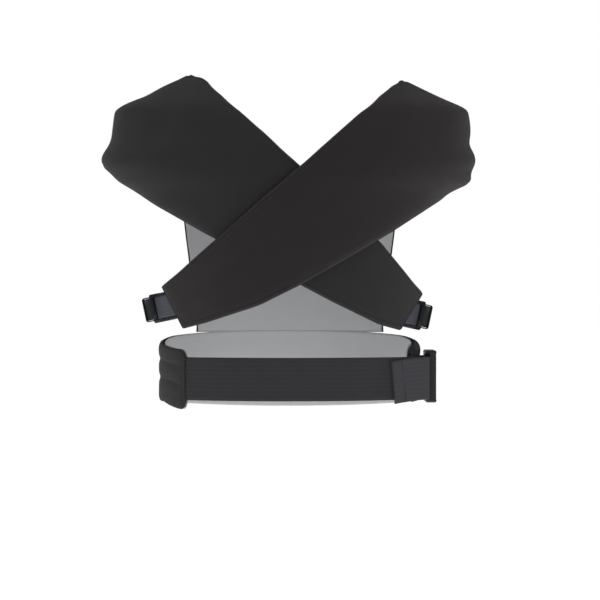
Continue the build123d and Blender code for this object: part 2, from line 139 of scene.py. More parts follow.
def finish(name, colour, pattern, depth, roughness=0.85, fuzz=0.0, uneven=0.12, blotch=60.0):
    """A material whose bump is pattern(graph, u, v), depth metres deep."""
    material = bpy.data.materials.new(name)
    material.use_nodes = True
    g = Graph(material.node_tree)
    uv = g.add("ShaderNodeUVMap", uv_map="UVMap")
    u = g.add("ShaderNodeSeparateXYZ", {0: uv})
    v = Sock(g, u.socket.node.outputs[1])
    slow = g.add("ShaderNodeTexNoise", {"Vector": uv, "Scale": blotch, "Detail": 3.0})
    height = pattern(g, u, v)
    tone = (slow - 0.5) * uneven + height * (uneven * 0.7) + (1 - uneven * 0.35)
    grey = g.add("ShaderNodeCombineColor", {0: tone, 1: tone, 2: tone})
    shade = g.add("ShaderNodeMix", {0: 1.0, 6: colour, 7: grey}, out=2, data_type="RGBA",
                  blend_type="MULTIPLY")
    bump = g.add("ShaderNodeBump", {"Strength": 1.0, "Distance": depth, "Height": height})
    shader = g.add("ShaderNodeBsdfPrincipled", {
        "Base Color": shade, "Roughness": roughness, "Normal": bump,
        "Sheen Weight": fuzz, "Sheen Roughness": 0.5, "Specular IOR Level": 0.25,
    })
    g.add("ShaderNodeOutputMaterial", {0: shader})
    return material


print("mid grey is", round(srgb(128)[0], 3), "in linear values")

# %% [markdown]
# ## Knit, weave and grain
#
# Cloth here is a fine knit: rows of loops that lean one way and then the other, so a
# wave across the piece is pushed sideways by a wave along it. Webbing is woven on the
# slant, so two crossing waves make it, and a slower wave adds its ribs. Moulded plastic
# has a grain with no direction, which a small noise gives.

# %% Patterns for the bump
def knit(pitch):
    """Rows of small v-shaped loops."""
    def pattern(g, u, v):
        lean = ((v * (2 * math.pi / pitch)).sine()) * (0.35 * pitch)
        return ((u + lean) * (2 * math.pi / pitch)).sine() * 0.5 + 0.5
    return pattern


def woven(pitch, rib=0.0):
    """Slanting yarns, with ribs along the webbing if rib is their spacing."""
    def pattern(g, u, v):
        yarns = ((u + v * 0.8) * (2 * math.pi / pitch)).sine() * 0.3
        cross = ((u - v * 0.8) * (2 * math.pi / pitch)).sine() * 0.2
        if rib:
            yarns = yarns + (v * (2 * math.pi / rib)).sine() * 0.18
        return yarns + cross + 0.5
    return pattern


def grain(scale):
    """A fine moulded grain."""
    def pattern(g, u, v):
        return g.add("ShaderNodeTexNoise", {"Vector": g.add("ShaderNodeTexCoord", out=3),
                                            "Scale": scale, "Detail": 2.0})
    return pattern


print("a knit, a weave and a grain")

# %% [markdown]
# ## The harness's finishes and painted light
#
# The two straps are cut from one cloth, and the upper one is a touch warmer. The belt's
# loose tail is a lighter copy of the webbing's colour, painted light. The small webbing
# is lighter and bluer still, a painted sheen, and its roll a darker copy, painted shade.
# Only the lining is pale.

# %% Cloth, webbing, plastic and metal
under_cloth = finish("under_strap_cloth", srgb(39, 38, 39), knit(0.0011), 0.00022, 0.9, 0.10)
over_cloth = finish("over_strap_cloth", srgb(39, 34, 36), knit(0.0011), 0.00022, 0.9, 0.10)
band_cloth = finish("waistband_cloth", srgb(46, 46, 48), knit(0.0012), 0.00022, 0.9, 0.10)
lining_cloth = finish("lining_cloth", srgb(205, 206, 208), knit(0.0011), 0.00012, 0.9, 0.1, uneven=0.04)
belt_web = finish("belt_webbing", srgb(44, 44, 48), woven(0.0019, 0.0049), 0.00035, 0.62, 0.05)
# The tail's lighter colour is painted light: the same webbing, lit more than the belt.
lit_tail_web = finish("belt_tail_painted_light", srgb(59, 58, 63), woven(0.0019, 0.0049), 0.00035, 0.55, 0.05)
# The small webbing's lighter, bluer colour is a painted sheen, light caught at a grazing angle.
sheen_small_web = finish("small_webbing_painted_sheen", srgb(66, 68, 76), woven(0.0016, 0.0042), 0.0003, 0.65, 0.05)
elastic = finish("elastic_band", srgb(38, 38, 40), woven(0.0014, 0.002), 0.00035, 0.75, 0.05)
# The roll's darker colour is painted shade on the same webbing.
roll_shade = finish("rolled_tail_painted_shade", srgb(44, 46, 45), woven(0.0016, 0.0042), 0.0003, 0.75, 0.05)
thread = finish("thread", srgb(58, 58, 60), grain(2600.0), 0.00005, 0.6)
plastic = finish("buckle_plastic", srgb(36, 37, 41), grain(1400.0), 0.00002, 0.34, uneven=0.04)
metal = finish("snap_metal", srgb(70, 70, 74), grain(900.0), 0.00001, 0.3, uneven=0.03)
print(len(bpy.data.materials), "materials")

# %% [markdown]
# ## The wearer's body
#
# Straps and bands lie tight on a body, so their shape is mostly the body's. They could
# be draped over a form by simulation, but stretched cloth hardly moves, and the outline
# would drift. So the body itself is written down, as a stack of ellipses, and each piece
# is laid on it. Near the top of the shoulders the surface leans to face upwards, and a
# piece that lies there grows up instead of out.

# %% The body's sections
SECTIONS = np.array([
    # height, half-width, half-depth, centre's x, lean
    (-75, 141.5, 98, 0, 0), (0, 141.5, 98, 0, 0), (50, 142.5, 98.5, 0, 0),
    (97, 150.5, 103, 0, 0), (155, 163, 109, 0, 0), (205, 175, 112, 0, 0),
    (228, 194, 112, 0, 0), (251, 209, 109, 0, 0.1), (280, 201, 101, 4, 0.2),
    (302, 199, 88, 4, 0.5), (320, 161, 66, 3, 0.9), (336, 130, 44, 4, 0.95),
    (344, 112, 30, 2, 1), (351, 82, 18, 2, 1),
], float)
WAIST_X, WAIST_Y = SECTIONS[0, 1:3]
print("the body stands", SECTIONS[-1, 0] - SECTIONS[0, 0], "mm high in", len(SECTIONS), "sections")


# %% A smooth curve through values
def smooth_through(knots, values, at):
    """A smooth curve through values at the knots, with no overshoot between them."""
    knots, values = np.asarray(knots, float), np.asarray(values, float)
    step = np.diff(knots)
    rise = np.diff(values, axis=0) / step.reshape(-1, *[1] * (values.ndim - 1))
    slope = np.zeros_like(values)
    slope[1:-1] = np.where(rise[1:] * rise[:-1] > 0, 2 * rise[1:] * rise[:-1]
                           / np.where(rise[1:] + rise[:-1] == 0, 1, rise[1:] + rise[:-1]), 0)
    slope[0], slope[-1] = rise[0], rise[-1]
    at = np.clip(at, knots[0], knots[-1])
    i = np.clip(np.searchsorted(knots, at) - 1, 0, len(step) - 1)
    shape = (-1,) + (1,) * (values.ndim - 1)
    h, s = step[i].reshape(shape), ((at - knots[i]) / step[i]).reshape(shape)
    return (values[i] * (1 + 2 * s) * (1 - s) ** 2 + slope[i] * h * s * (1 - s) ** 2
            + values[i + 1] * s * s * (3 - 2 * s) + slope[i + 1] * h * s * s * (s - 1))


print("half-way from 0 to 1 the curve is at", smooth_through([0, 1], [0, 1], np.array([0.5]))[0])

# %% [markdown]
# ## Naming points on the body
#
# A point on the body is named by its level, which counts sections and parts of sections
# from the bottom, and by its angle round the ellipse. `on_body` turns names into places,
# a gap off the skin. `name_point` goes the other way, from a place in front view.

# %% From names to places and back
FINE = 0.02
LEVELS = np.arange(0, len(SECTIONS) - 1 + FINE / 2, FINE)
TABLE = smooth_through(np.arange(len(SECTIONS)), SECTIONS, LEVELS)


def on_body(level, angle, gap, lift=0.0):
    """Points on the body's stack at level and angle, grown by gap. lift deepens the back."""
    level, angle = np.broadcast_arrays(level, angle)
    z, a, b, cx, lean = (np.interp(level, LEVELS, TABLE[:, k]) for k in range(5))
    depth = b + gap * (1 - 0.4 * lean) + np.where(np.sin(angle) < 0, lift, 0)
    return np.stack([cx + (a + gap * (1 - 0.6 * lean)) * np.cos(angle),
                     depth * np.sin(angle), z + gap * lean], -1)


def level_at(z, gap=5.0):
    """The level of a height, on the body grown by gap."""
    return np.interp(z, TABLE[:, 0] + gap * TABLE[:, 4], LEVELS)


def name_point(x, z, front, gap=5.0):
    """The level and angle of the body point behind (or in front of) x, z in front view."""
    level = level_at(z, gap)
    a = np.interp(level, LEVELS, TABLE[:, 1]) + gap
    cx = np.interp(level, LEVELS, TABLE[:, 3])
    angle = math.acos(max(-1, min(1, (x - cx) / a)))
    return level, angle if front else -angle


print("the waist's side is named", name_point(WAIST_X + 5, 0, True))

# %% [markdown]
# ## Runs of points
#
# A path that is worked out has its points close together in bends and far apart on
# straights. Two helpers measure a path and lay even steps along it.

# %% Measuring and evening a run
def arc_lengths(points):
    """Distance along a run of points, starting from 0."""
    return np.concatenate([[0], np.cumsum(np.linalg.norm(np.diff(points, axis=0), axis=1))])


def resample(points, count):
    """A run of points at equal distances along the same path."""
    points = np.asarray(points, float)
    s = arc_lengths(points)
    at = np.linspace(0, s[-1], count)
    return np.stack([np.interp(at, s, points[:, c]) for c in range(points.shape[1])], -1)


print("a 3-4-5 path is", arc_lengths(np.array([(0, 0), (3, 4)]))[-1], "long")

# %% [markdown]
# ## Closed meshes from rings
#
# A strap, a band and a webbing are all the same kind of thing: one cross-section carried
# along a path. A curve with a bevel could sweep it, but it gives no say over how the
# section changes on the way. So each soft piece is a tube: a row of rings, joined one to
# the next, with caps at the ends. Its UVs are lengths in metres, along the tube and
# round its section, which is what the weave and knit patterns read.

# %% The caps and the faces' direction
def end_caps(count, stations):
    """Faces that close a tube's first and last ring, with the last one turned round."""
    caps = []
    for end, base in ((0, 0), (1, (stations - 1) * count)):
        cap = [[base + p, base + p + 1, base + count - 2 - p, base + count - 1 - p]
               for p in range(count // 2 - 1)]
        caps.append((base, [face[::-1] if end else face for face in cap]))
    return caps


def signed_volume(verts, faces):
    """Six times a closed mesh's volume, which is negative if its faces point inwards."""
    return sum(np.dot(verts[f[0]], np.cross(verts[f[1]], verts[f[2]]))
               + np.dot(verts[f[0]], np.cross(verts[f[2]], verts[f[3]])) for f in faces)


print("a ring of 12 points is capped by", len(end_caps(12, 2)[0][1]), "faces")


# %% The tube
def tube(name, rings, material, closed=False):
    """A closed mesh through rings, an array of (stations, points, xyz) in millimetres."""
    rings = np.asarray(rings, float) * MM
    n, k = rings.shape[:2]
    verts = rings.reshape(-1, 3)
    rows = np.arange(n if closed else n - 1)
    i, j = np.meshgrid(rows, np.arange(k), indexing="ij")
    i2, j2 = (i + 1) % n, (j + 1) % k
    quads = np.stack([i * k + j, i * k + j2, i2 * k + j2, i2 * k + j], -1).reshape(-1, 4)
    along = np.concatenate([[0], np.cumsum(np.linalg.norm(np.diff(rings, axis=0), axis=2).mean(1))])
    if closed:
        along = np.append(along[:n], along[-1] + np.linalg.norm(rings[0] - rings[-1], axis=1).mean())
    around = np.concatenate([[0], np.cumsum(
        np.linalg.norm(np.roll(rings, -1, axis=1) - rings, axis=2).mean(0))])
    uv = np.stack([np.stack([along[i + a], around[j + b]], -1)
                   for a, b in ((0, 0), (0, 1), (1, 1), (1, 0))], 2)
    faces, uvs = quads.tolist(), uv.reshape(-1, 2)
    if not closed:
        for base, cap in end_caps(k, n):
            faces += cap
            flat = np.linalg.norm(verts[np.ravel(cap)] - verts[base], axis=1)
            uvs = np.concatenate([uvs, np.stack([flat, flat * 0.3], -1)])
    mesh = bpy.data.meshes.new(name)
    mesh.from_pydata(verts.tolist(), [], faces)
    layer = mesh.uv_layers.new(name="UVMap")
    layer.data.foreach_set("uv", uvs.astype(np.float32).ravel())
    mesh.materials.append(material)
    mesh.shade_smooth()
    piece = bpy.data.objects.new(name, mesh)
    bpy.context.scene.collection.objects.link(piece)
    if signed_volume(verts, faces) < 0:
        mesh.flip_normals()
    return piece


print("tubes are ready")

# %% [markdown]
# ## A grid laid over the body
#
# A padded piece is drawn as a few rows of named points across it. Those rows are joined
# by smooth curves into a fine grid. Where one row meets the next at an angle the grid
# would still kink, so it is averaged a little along its length.

# %% The grid and its distances from the edges
GRID_GAP = 5.0


def grid_on_body(rows, count, stations):
    """A grid of levels and angles through rows of named points, evenly spaced across."""
    across = np.stack([resample(row, count) for row in rows])
    middle = np.stack([on_body(r[:, 0], r[:, 1], GRID_GAP)[count // 2] for r in across])
    s = arc_lengths(middle)
    at = np.linspace(0, s[-1], stations)
    grid = smooth_through(s, across.reshape(len(rows), -1), at)
    window = np.hanning(11)[1:-1] / np.hanning(11).sum()
    grid = np.pad(grid, ((4, 4), (0, 0)), mode="reflect", reflect_type="odd")
    grid = np.stack([np.convolve(column, window, "valid") for column in grid.T], 1)
    return grid.reshape(stations, count, 2)


def edge_distance(points):
    """Each grid point's distance from the nearest side edge and from the nearest end."""
    step = np.linalg.norm(np.diff(points, axis=1), axis=2)
    across = np.concatenate([np.zeros((len(points), 1)), np.cumsum(step, 1)], 1)
    side = np.minimum(across, across[:, -1:] - across)
    step = np.linalg.norm(np.diff(points, axis=0), axis=2)
    along = np.concatenate([np.zeros((1, points.shape[1])), np.cumsum(step, 0)], 0)
    return side, along, along[-1:] - along


print("grids are ready")

# %% [markdown]
# ## Sewn pads
#
# Sewn padding is thin at its edge, dips at the row of stitches a little way in, and
# swells beyond it, with shallow folds where the filling has settled. A simulation would
# find that shape by itself, but its remesh loses a groove as narrow as this one. Here
# the height of the outer layer is a sum of such bumps, each a plain function of how far
# the point is from the edge.

# %% A pad
def rounded_edge(near, round_off):
    """How far a pad has risen at a distance from its edge, from 0 to 1, as a quarter round."""
    return np.sqrt(np.clip(1 - (1 - np.clip(near / round_off, 0, 1)) ** 2, 0, 1))


def pad(name, grid, inner, thickness, material, puff=0.0, round_off=6.0, seam=6.0,
        groove=0.9, lift=0.0, folds=0.0, shape=None):
    """A padded or lined piece of cloth over the body, as a closed mesh."""
    level, angle = grid[..., 0], grid[..., 1]
    side, start, stop = edge_distance(on_body(level, angle, inner + thickness / 2, lift))
    near = np.minimum(np.minimum(side, start + 1.2), stop + 1.2)
    edge = rounded_edge(near, round_off)
    swell = 1 - np.exp(-np.clip(near - seam, 0, None) / 14)
    wave = (np.sin(start / 23 + side / 11) * np.sin(start / 37 - side / 17 + 1.3)
            + 0.5 * np.sin(start / 9.5 + 2.1) * np.sin(side / 13 + 0.4))
    outer_gap = (inner + 0.4 * thickness + 0.6 * thickness * edge + puff * swell
                 - groove * np.exp(-((near - seam) / 1.3) ** 2) + folds * wave * swell)
    inner_gap = inner + (1 - edge) * 0.38 * thickness
    if shape:
        flare, dent = shape(on_body(level, angle, GRID_GAP, lift))
        outer_gap, inner_gap = outer_gap + flare - dent, inner_gap + flare
    outer = on_body(level, angle, outer_gap, lift)
    inside = on_body(level, angle, inner_gap, lift)
    piece = tube(name, np.concatenate([outer, inside[:, ::-1]], 1), material)
    return piece, outer, side, start, stop


print("pads are ready")


# %% Where a pad's seams run
def seam_line(outer, side, start, stop, inset, both_ends=(0.0, 0.0)):
    """The runs of points a distance in from both side edges, on a pad's outer layer."""
    runs = []
    half = side.shape[1] // 2
    for columns in (slice(0, half), slice(-1, half - 1, -1)):
        run = []
        for row in range(len(outer)):
            if start[row, half] < both_ends[0] or stop[row, half] < both_ends[1]:
                continue
            run.append([np.interp(inset, side[row, columns], outer[row, columns, c]) for c in range(3)])
        runs.append(np.array(run))
    return runs


def row_line(outer, start, distance, inset, side):
    """The run of points across a pad at a distance from its start, inset from the sides."""
    run = []
    for column in range(outer.shape[1]):
        point = [np.interp(distance, start[:, column], outer[:, column, c]) for c in range(3)]
        near = np.interp(distance, start[:, column], side[:, column])
        if near >= inset:
            run.append(point)
    return np.array(run)


print("seams are ready")

# %% [markdown]
# ## Stitches
#
# A seam is one short thread after another, thousands of them in all. Each could be a
# copied object, but Geometry Nodes are made for what repeats along a path. The tree
# measures the line out, lays one small ball at each step, stretches it into a thread and
# turns it to follow the line. The result is turned into a plain mesh, because the
# instances themselves would be lost when the harness is saved elsewhere.

# %% The stitch tree
def stitch_tree():
    """A geometry tree with inputs for the line, the stitches' sizes and their thread."""
    tree = bpy.data.node_groups.new("stitches", "GeometryNodeTree")
    face = tree.interface
    face.new_socket("Line", in_out="INPUT", socket_type="NodeSocketGeometry")
    for name, value in (("Pitch", 0.0035), ("Length", 0.0024), ("Radius", 0.0004)):
        face.new_socket(name, in_out="INPUT", socket_type="NodeSocketFloat").default_value = value
    face.new_socket("Thread", in_out="INPUT", socket_type="NodeSocketMaterial")
    face.new_socket("Stitches", in_out="OUTPUT", socket_type="NodeSocketGeometry")
    g = Graph(tree)
    given = g.add("NodeGroupInput")
    pitch, length, radius, material = (Sock(g, given.socket.node.outputs[k]) for k in range(1, 5))
    curve = g.add("GeometryNodeMeshToCurve", {0: given})
    even = g.add("GeometryNodeResampleCurve", {"Curve": curve, "Length": pitch}, mode="LENGTH")
    turn = g.add("FunctionNodeAlignRotationToVector",
                 {"Vector": g.add("GeometryNodeInputTangent")}, axis="X")
    ball = g.add("GeometryNodeMeshUVSphere", {"Segments": 6, "Rings": 4, "Radius": 1.0})
    size = g.add("ShaderNodeCombineXYZ", {0: length * 0.5, 1: radius, 2: radius})
    laid = g.add("GeometryNodeInstanceOnPoints",
                 {"Points": even, "Instance": ball, "Rotation": turn, "Scale": size})
    real = g.add("GeometryNodeRealizeInstances", {0: laid})
    done = g.add("GeometryNodeSetMaterial", {"Geometry": real, "Material": material})
    g.add("NodeGroupOutput", {0: done})
    return tree


STITCHES = stitch_tree()
print("the stitch tree has", len(STITCHES.nodes), "nodes")


# %% From runs of points to a stitched seam
def stitches(name, runs, body, pitch=3.4, length=2.5, radius=0.38):
    """Rows of stitches along runs of points in millimetres, riding on a body."""
    verts, edges = [], []
    for run in runs:
        edges += [(len(verts) + i, len(verts) + i + 1) for i in range(len(run) - 1)]
        verts += (np.asarray(run) * MM).tolist()
    line = bpy.data.meshes.new(name + "_line")
    line.from_pydata(verts, edges, [])
    holder = bpy.data.objects.new(name + "_line", line)
    bpy.context.scene.collection.objects.link(holder)
    modifier = holder.modifiers.new("stitches", "NODES")
    modifier.node_group = STITCHES
    wanted = {"Pitch": pitch * MM, "Length": length * MM, "Radius": radius * MM, "Thread": thread}
    for item in STITCHES.interface.items_tree:
        if item.in_out == "INPUT" and item.name in wanted:
            modifier[item.identifier] = wanted[item.name]
    graph = bpy.context.evaluated_depsgraph_get()
    mesh = bpy.data.meshes.new_from_object(holder.evaluated_get(graph))
    bpy.data.objects.remove(holder)
    mesh.shade_smooth()
    piece = bpy.data.objects.new(name, mesh)
    bpy.context.scene.collection.objects.link(piece)
    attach(piece, body)
    return piece


print("seams can be sewn")

# %% [markdown]
# ## The shoulder straps
#
# Each strap is one wide padded piece. It runs up the back from its pointed end at the
# far hip, over the shoulder, and down the front to the corner of the panel. It is drawn
# in front view as rows across it, because that is how a strap is seen and measured, and
# only the row along the shoulder's top is given by heights. The wearer's left strap lies
# under the right one where they cross.

# %% Rows across a strap
ROW_POINTS = 12


def straight_rows(pairs, front, between=3):
    """Rows across the strap, each a straight line in front view, with more in between."""
    ends = [np.array(pairs[0], float)]
    for a, b in zip(pairs[:-1], pairs[1:]):
        a, b = np.array(a, float), np.array(b, float)
        ends += [a + (b - a) * k / between for k in range(1, between + 1)]
    shares = np.linspace(0, 1, ROW_POINTS)
    return [np.array([name_point(*(inner + (outer - inner) * share), front) for share in shares])
            for inner, outer in ends]


def ridge_row(inner_z, outer_z, angle):
    """The row along the shoulder's top line, between two heights."""
    levels = np.linspace(level_at(inner_z), level_at(outer_z), ROW_POINTS)
    return np.array([(level, angle) for level in levels])


def round_corner(inner_x, outer_x, top, low):
    """The strap's last row, round the corner of the panel."""
    corner = [(inner_x, top), (outer_x, top), (outer_x, low)]
    return np.array([name_point(x, z, True) for x, z in resample(corner, ROW_POINTS)])


def strap_rows(back, ridge, front, corner, side):
    """All of a strap's rows, with the left one's angles kept from jumping a full turn."""
    turn = math.pi if side < 0 else 0.0
    rows = straight_rows(back, False) + [ridge_row(*ridge, -turn)] + straight_rows(front, True)
    rows.append(round_corner(*corner))
    if side < 0:
        rows = [np.stack([row[:, 0], np.where(row[:, 1] < 0, row[:, 1] + 2 * math.pi, row[:, 1])], 1)
                for row in rows]
    return rows


print("a strap's row has", ROW_POINTS, "points")

# %% Both straps, edge to edge
left_rows = strap_rows(
    [((155, 96.5), (128, 55)), ((130, 126), (104, 61.5)), ((103.6, 156.5), (50, 87.5)),
     ((60, 197), (0, 114)), ((14.5, 239.5), (-45, 138.4)), ((-30, 280.5), (-100, 168)),
     ((-75, 321.5), (-155, 199.5)), ((-101, 345.5), (-187, 221.5))],
    (350, 240),
    [((-108, 344), (-189, 230)), ((-97, 314), (-174, 218)), ((-82, 284), (-152, 206))],
    (-64, -127.5, 233.5, 192), -1)
right_rows = strap_rows(
    [((-144, 105.5), (-118.5, 57)), ((-125, 120), (-92, 63.8)), ((-81, 157.5), (-31.5, 83.5)),
     ((-35, 197), (14, 106)), ((14.5, 239.5), (70, 137.6)), ((60, 280.4), (120, 167.3)),
     ((100, 316.3), (158, 192)), ((122, 336), (176, 204))],
    (344, 219),
    [((124, 334), (180, 218)), ((108, 304), (172, 213)), ((92, 276), (158, 204))],
    (67, 131.5, 233.5, 192), 1)
CROSSING_LIFT = 8.6
print("rows:", len(left_rows), "left and", len(right_rows), "right")


# %% The flare over the arm
def shoulder_shape(flare_height, dent_depth, side):
    """How a strap stands off the arm's top at its outer corner, and dips above it."""
    def shape(points):
        x, y, z = points[..., 0] * side, points[..., 1], points[..., 2]
        beyond = np.exp(-np.clip(200 - x, 0, None) / 22) * np.exp(-(y / 60) ** 2)
        flare = flare_height * beyond * np.exp(-((z - 222) / 13) ** 2)
        dent = dent_depth * beyond * np.exp(-((z - 269) / 10) ** 2)
        return flare, dent
    return shape


left_shape, right_shape = shoulder_shape(4, 2.4, -1), shoulder_shape(13, 4.2, 1)
print("at the arm's top the right strap stands off by",
      right_shape(np.array([205.0, 0, 222]))[0].round(1), "mm")

# %% The straps and their seams
STRAP_GAP, STRAP_THICKNESS = 2.6, 4.6
for name, rows, lift, cloth, shape in (("left", left_rows, 0.0, under_cloth, left_shape),
                                       ("right", right_rows, CROSSING_LIFT, over_cloth, right_shape)):
    grid = grid_on_body(rows, 46, 190)
    strap, outer, side, start, stop = pad(
        f"{name}_strap_padding", grid, STRAP_GAP, STRAP_THICKNESS, cloth, puff=1.6,
        round_off=6.5, lift=lift, folds=0.45, shape=shape)
    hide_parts(f"{name}_shoulder_strap")
    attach(strap, "harness")
    runs = seam_line(outer, side, start, stop, 6.0, (7.0, 5.0))
    runs += [row_line(outer, start, d, 7.0, side) for d in (5.0, 9.0)]
    stitches(f"{name}_strap_stitches", runs, "harness")
    print(name, "strap:", len(strap.data.polygons), "faces")

# %% [markdown]
# ## The waistband
#
# The waistband is a padded band that goes from one end at the back, round the front, to
# the other. Two rows of stitches part its filling into three soft ridges, and its ends
# are rounded like a sewn cushion's. It follows the waist's ellipse, so its cross-section
# is worked out at each angle, and the seams are laid in the valleys afterwards.

# %% The band's length and its two edges
BAND_ENDS = (-118.0, 141.0)
BODY_GAP, LINING, PAD = 0.5, 1.2, 12.0
BAND_MIDDLE = 6.0


def round_waist(gap, angles):
    """Points in plan round the waist, a gap off the wearer."""
    return np.stack([(WAIST_X + gap) * np.cos(angles), (WAIST_Y + gap) * np.sin(angles)], -1)


def band_angles(count):
    """Angles round the waist, from the left back end by the front to the right back end."""
    first = 2 * math.pi - math.acos(BAND_ENDS[0] / (WAIST_X + BAND_MIDDLE))
    last = -math.acos(BAND_ENDS[1] / (WAIST_X + BAND_MIDDLE))
    return np.linspace(first, last, count)


def band_edges(y):
    """The heights of the band's top and bottom edges, which spread towards the front."""
    top = np.interp(y, [-140, -55, -20, 0, 40, 130], [31, 33.5, 38, 41.5, 47.5, 56])
    bottom = np.interp(y, [-140, -55, -20, 40, 130], [-40, -35, -27, -30, -40])
    return top, bottom


print("the band is", round(arc_lengths(round_waist(BAND_MIDDLE, band_angles(260)))[-1]), "mm long")


# %% The band
def band(name, inner, thickness, material, channels=(), round_off=9.0, corner=8.0,
         count=260, across=44):
    """A padded or lined band round the waist, with stitched channels at shares of its height."""
    angles = band_angles(count)
    middle = round_waist(BAND_MIDDLE, angles)
    run = arc_lengths(middle)
    top, bottom = band_edges(middle[:, 1])
    smooth = np.hanning(15) / np.hanning(15).sum()
    top, bottom = (np.convolve(np.pad(e, 7, mode="edge"), smooth, "valid") for e in (top, bottom))
    end = np.minimum(run, run[-1] - run)
    inset = corner - np.sqrt(np.clip(corner ** 2 - np.clip(corner - end, 0, corner) ** 2, 0, None))
    top, bottom = top - inset, bottom + inset
    f = (1 - np.cos(np.linspace(0, math.pi, across))) / 2
    f = 0.35 * f + 0.65 * np.linspace(0, 1, across)
    z = bottom[:, None] + (top - bottom)[:, None] * f[None]
    near = np.minimum(np.minimum(z - bottom[:, None], top[:, None] - z), end[:, None] + 1.0)
    edge = rounded_edge(near, round_off)
    dip = np.zeros_like(z)
    heights = []
    for share in channels:
        height = bottom + (top - bottom) * share
        dip += np.exp(-(np.abs(z - height[:, None]) / 3.4) ** 1.4) * np.clip(end[:, None] / 12, 0, 1)
        heights.append(height)
    wave = np.sin(run / 19)[:, None] * np.sin(z / 14 + run[:, None] / 41) * 0.35
    thickness = thickness * (1 - 0.5 * np.exp(-(run / 130) ** 2)[:, None])
    gap = inner + 0.42 * thickness + thickness * (0.58 * edge - 0.3 * dip) + wave * edge * (thickness > 3)
    low = inner + (1 - edge) * 0.4 * thickness
    outer = np.concatenate([round_waist(gap, angles[:, None]), z[..., None]], -1)
    inside = np.concatenate([round_waist(low, angles[:, None]), z[..., None]], -1)
    piece = tube(name, np.concatenate([outer, inside[:, ::-1]], 1), material)
    return piece, outer, z, heights, run


print("bands are ready")

# %% The waistband, its seams and its lining
waistband, outer, z, heights, run = band(
    "waistband_padding", BODY_GAP + LINING, PAD - LINING - 0.2, band_cloth, channels=(0.417, 0.722))
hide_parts("waistband_cover", "waistband_foam")
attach(waistband, "harness")
lines = []
for height in heights:
    lines.append(np.array([[np.interp(height[i], z[i], outer[i, :, c]) for c in range(3)]
                           for i in range(len(outer)) if 9 < run[i] < run[-1] - 9]))
stitches("waistband_stitches", lines, "harness", radius=0.34)
lining, *_ = band("waistband_lining_cloth", BODY_GAP, LINING - 0.05, lining_cloth,
                  round_off=1.5, corner=8.0)
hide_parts("waistband_lining")
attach(lining, "harness")
print("waistband:", len(waistband.data.polygons), "faces")

# %% [markdown]
# ## The front panel and the head support
#
# The panel hangs between the straps at the wearer's front, where the carried child sits.
# The head support is a flap folded down over it and held by two snaps. Both are pads
# like the straps, drawn by half-widths at a few heights, since they are alike on both
# sides.

# %% The panel and its lining
FRONT_MIDDLE = 2.0


def front_grid(outline, count=60, stations=70):
    """A grid of points at the wearer's front through rows of (z, half-width)."""
    rows = [np.array([name_point(FRONT_MIDDLE + x, z, True) for x in (-half, half)])
            for z, half in outline]
    return grid_on_body(rows, count, stations)


panel_grid = front_grid([(51.5, 112), (66, 112), (110, 118), (150, 123), (190, 128), (231, 128)])
panel, outer, side, start, stop = pad(
    "front_panel_padding", panel_grid, BODY_GAP + LINING, 4.4, band_cloth, puff=0.3,
    round_off=4.0, folds=0.2)
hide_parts("front_panel")
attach(panel, "harness")
stitches("front_panel_stitches", seam_line(outer, side, start, stop, 6.0, (6.0, 6.0)),
         "harness")
panel_lining, *_ = pad("front_panel_lining_cloth", panel_grid, BODY_GAP, LINING - 0.05, lining_cloth,
                       round_off=1.5, groove=0.0)
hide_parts("front_panel_lining")
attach(panel_lining, "harness")
print("panel:", len(panel.data.polygons), "faces")

# %% The head support
flap_grid = front_grid([(229, 82), (200, 82), (166.6, 82), (159, 79), (151, 70.5)], 50, 50)
flap, outer, side, start, stop = pad(
    "head_support_padding", flap_grid, 8.5, 3.8, band_cloth, puff=0.4, round_off=3.5,
    groove=0.5, folds=0.15)
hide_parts("head_support")
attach(flap, "head_support_body")
stitches("head_support_stitches", seam_line(outer, side, start, stop, 6.0, (4.0, 5.0)),
         "head_support_body")
print("flap:", len(flap.data.polygons), "faces")

# %% [markdown]
# The flap turns about the panel's top edge, and real cloth would bend there. The two
# pads stay as they are, and a narrow strip of cloth joins them along the fold.

# %% The fold
FOLD_HALF_WIDTH = 45.0
fold = []
for x in FRONT_MIDDLE + np.linspace(-1, 1, 25) * FOLD_HALF_WIDTH:
    low = on_body(*name_point(x, 230.5, True), 4.2)
    high = on_body(*name_point(x, 225.5, True), 10.2)
    top = on_body(*name_point(x, 234, True), 7.2)
    fold.append(resample([low, low + (top - low) * 0.6 - [0, 1.4, 0], top,
                          high + (top - high) * 0.6 + [0, 1.4, 0], high], 14))
curve = np.stack(fold)
inside = curve - (curve - curve.mean(1, keepdims=True)) * 0.18
hinge_strip = tube("head_support_fold", np.concatenate([curve, inside[:, ::-1]], 1), band_cloth)
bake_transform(hinge_strip)
print("fold strip:", len(hinge_strip.data.polygons), "faces")

# %% [markdown]
# ## Webbing
#
# Webbing is flat and stiff across, so it only bends the easy way, round buckle bars and
# round the waist. Its path can be drawn in a plane, as a side view of the strip, with
# each corner rounded. The section is then carried along it with its width square to that
# plane. Where the end is hemmed, the outer face steps up by a second layer.

# %% Rounded paths and the webbing's section
def rounded(points, radius):
    """A path with each corner replaced by a short curve."""
    points = np.asarray(points, float)
    out = [points[0]]
    for a, b, c in zip(points[:-2], points[1:-1], points[2:]):
        back, on = a - b, c - b
        reach = min(radius, 0.45 * np.linalg.norm(back), 0.45 * np.linalg.norm(on))
        p, q = b + back / np.linalg.norm(back) * reach, b + on / np.linalg.norm(on) * reach
        for s in np.linspace(0, 1, 7):
            out.append((1 - s) ** 2 * p + 2 * s * (1 - s) * b + s ** 2 * q)
    return np.array(out + [points[-1]])


FACE_POINTS = 13


